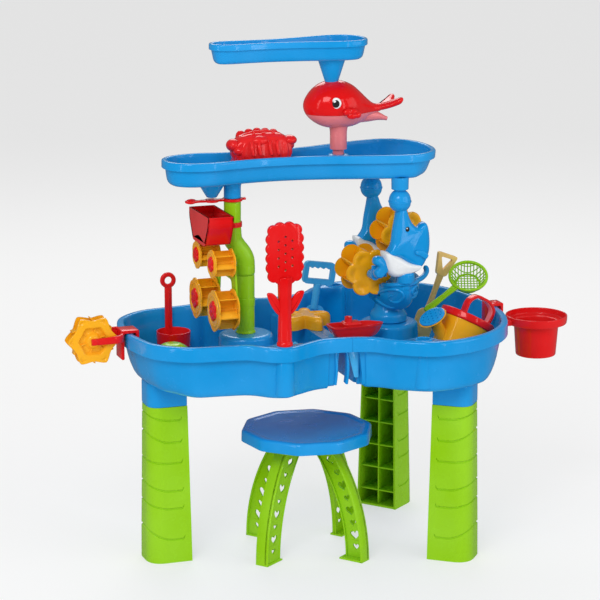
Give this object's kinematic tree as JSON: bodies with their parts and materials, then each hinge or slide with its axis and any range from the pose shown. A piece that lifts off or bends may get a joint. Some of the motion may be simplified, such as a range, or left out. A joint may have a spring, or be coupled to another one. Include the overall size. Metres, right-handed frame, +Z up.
{
  "type": "sand and water table",
  "caption": "Children's tiered sand and water table: lobed basin on channel legs, trays that feed water wheels, a whale and dolphin tower, rim-hung toys and a stool.",
  "frame": {"origin": "on the floor under the middle of the table", "axes": "+X along the table from the water wheel tower to the dolphin tower, +Y to the back, +Z up"},
  "size_m": [0.847, 0.4576, 0.825],
  "materials": {
    "blue_plastic": "glossy moulded",
    "light_blue_plastic": "glossy moulded",
    "lime_plastic": "glossy moulded",
    "red_plastic": "glossy moulded",
    "pink_plastic": "glossy moulded",
    "yellow_plastic": "glossy moulded",
    "tan_plastic": "glossy moulded",
    "white_plastic": "glossy moulded",
    "black_plastic": "glossy moulded",
    "steel_pin": "smooth"
  },
  "bodies": {
    "table": {"basin_left": "blue_plastic", "basin_right": "blue_plastic", "leg_left": "lime_plastic", "leg_front": "lime_plastic", "leg_back": "lime_plastic", "column_lower": "lime_plastic", "column_upper": "lime_plastic", "wheel_bracket": "lime_plastic", "hopper": "red_plastic", "mid_tray": "blue_plastic", "wave_base": "blue_plastic", "dolphin_front": "blue_plastic", "dolphin_back": "blue_plastic", "belly_front": "white_plastic", "belly_back": "white_plastic", "dolphin_eyes": "black_plastic", "axle_upper": "steel_pin", "axle_lower": "steel_pin"},
    "gate": {"gate_lever": "red_plastic"},
    "water_wheel_upper_front": {"wheel_upper_front": "yellow_plastic", "cap_upper_front": "red_plastic"},
    "water_wheel_upper_back": {"wheel_upper_back": "yellow_plastic", "cap_upper_back": "red_plastic"},
    "water_wheel_lower_front": {"wheel_lower_front": "yellow_plastic", "cap_lower_front": "red_plastic"},
    "water_wheel_lower_back": {"wheel_lower_back": "yellow_plastic", "cap_lower_back": "red_plastic"},
    "upper_flower": {"flower_wheel_upper": "yellow_plastic"},
    "lower_flower": {"flower_wheel_lower": "yellow_plastic"},
    "whale": {"whale_upper": "red_plastic", "whale_lower": "pink_plastic", "whale_eyes": "white_plastic"},
    "shower_tray": {"top_tray": "blue_plastic"},
    "crab": {"crab_mould": "red_plastic"},
    "hanger": {"rim_bracket": "red_plastic", "rim_axle": "red_plastic"},
    "hanger_wheel": {"rim_wheel": "yellow_plastic"},
    "side_cup": {"cup": "red_plastic"},
    "rake": {"flower_shovel": "red_plastic"},
    "scoop_toy": {"scoop": "red_plastic"},
    "dome_toy": {"dome_mould": "lime_plastic"},
    "shell_toy": {"shell_mould": "light_blue_plastic"},
    "star_toy": {"star_mould": "yellow_plastic"},
    "boat": {"boat_hull": "red_plastic", "boat_cabin": "red_plastic"},
    "blue_spade": {"blue_shovel": "light_blue_plastic"},
    "tan_spade": {"tan_shovel": "tan_plastic"},
    "sieve_toy": {"sieve": "lime_plastic"},
    "watering_can": {"can_body": "yellow_plastic", "can_rim": "red_plastic", "can_rose": "blue_plastic"},
    "stool": {"stool_seat": "blue_plastic", "stool_frame": "lime_plastic", "stool_leg_front_left": "lime_plastic", "stool_leg_front_right": "lime_plastic", "stool_leg_back_left": "lime_plastic", "stool_leg_back_right": "lime_plastic"}
  },
  "joints": [
    {"name": "gate_swing", "type": "hinge", "parent": "table", "child": "gate", "pos_m": [-0.144, 0, 0.577], "axis": [0, 0, 1], "range_deg": [0, 75]},
    {"name": "upper_front_spin", "type": "hinge", "parent": "table", "child": "water_wheel_upper_front", "pos_m": [-0.175, -0.039, 0.484], "axis": [1, 0, 0], "continuous": true},
    {"name": "upper_back_spin", "type": "hinge", "parent": "table", "child": "water_wheel_upper_back", "pos_m": [-0.175, 0.039, 0.484], "axis": [1, 0, 0], "continuous": true},
    {"name": "lower_front_spin", "type": "hinge", "parent": "table", "child": "water_wheel_lower_front", "pos_m": [-0.175, -0.048, 0.411], "axis": [1, 0, 0], "continuous": true},
    {"name": "lower_back_spin", "type": "hinge", "parent": "table", "child": "water_wheel_lower_back", "pos_m": [-0.175, 0.048, 0.411], "axis": [1, 0, 0], "continuous": true},
    {"name": "upper_flower_spin", "type": "hinge", "parent": "table", "child": "upper_flower", "pos_m": [0.138, 0, 0.506], "axis": [0, 1, 0], "continuous": true},
    {"name": "lower_flower_spin", "type": "hinge", "parent": "table", "child": "lower_flower", "pos_m": [0.078, 0, 0.448], "axis": [0, 1, 0], "continuous": true},
    {"name": "whale_turn", "type": "hinge", "parent": "table", "child": "whale", "pos_m": [0.034, 0, 0.66], "axis": [0, 0, 1], "range_deg": [-60, 60]},
    {"name": "shower_tray_turn", "type": "hinge", "parent": "whale", "child": "shower_tray", "pos_m": [0.022, 0, 0.75], "axis": [0, 0, 1], "range_deg": [-90, 90]},
    {"name": "crab_lift", "type": "slide", "parent": "table", "child": "crab", "axis": [0, 0, 1], "range_m": [0, 0.1]},
    {"name": "hanger_lift", "type": "slide", "parent": "table", "child": "hanger", "axis": [0, 0, 1], "range_m": [0, 0.08]},
    {"name": "hanger_wheel_spin", "type": "hinge", "parent": "hanger", "child": "hanger_wheel", "pos_m": [-0.38, -0.015, 0.372], "axis": [0, 1, 0], "continuous": true},
    {"name": "cup_lift", "type": "slide", "parent": "table", "child": "side_cup", "axis": [0, 0, 1], "range_m": [0, 0.08]},
    {"name": "rake_lift", "type": "slide", "parent": "table", "child": "rake", "axis": [0, 0, 1], "range_m": [0, 0.15]},
    {"name": "scoop_lift", "type": "slide", "parent": "table", "child": "scoop_toy", "axis": [0, 0, 1], "range_m": [0, 0.12]},
    {"name": "dome_lift", "type": "slide", "parent": "table", "child": "dome_toy", "axis": [0, 0, 1], "range_m": [0, 0.12]},
    {"name": "shell_lift", "type": "slide", "parent": "table", "child": "shell_toy", "axis": [0, 0, 1], "range_m": [0, 0.12]},
    {"name": "star_lift", "type": "slide", "parent": "table", "child": "star_toy", "axis": [0, 0, 1], "range_m": [0, 0.1]},
    {"name": "boat_lift", "type": "slide", "parent": "table", "child": "boat", "axis": [0, 0, 1], "range_m": [0, 0.05]},
    {"name": "blue_spade_lift", "type": "slide", "parent": "table", "child": "blue_spade", "axis": [0, 0, 1], "range_m": [0, 0.12]},
    {"name": "tan_spade_lift", "type": "slide", "parent": "table", "child": "tan_spade", "axis": [0, 0, 1], "range_m": [0, 0.12]},
    {"name": "sieve_lift", "type": "slide", "parent": "table", "child": "sieve_toy", "axis": [0, 0, 1], "range_m": [0, 0.12]},
    {"name": "can_lift", "type": "slide", "parent": "table", "child": "watering_can", "axis": [0, 0, 1], "range_m": [0, 0.12]},
    {"name": "stool_pull", "type": "slide", "parent": "table", "child": "stool", "axis": [0, -1, 0], "range_m": [0, 0.35]}
  ]
}
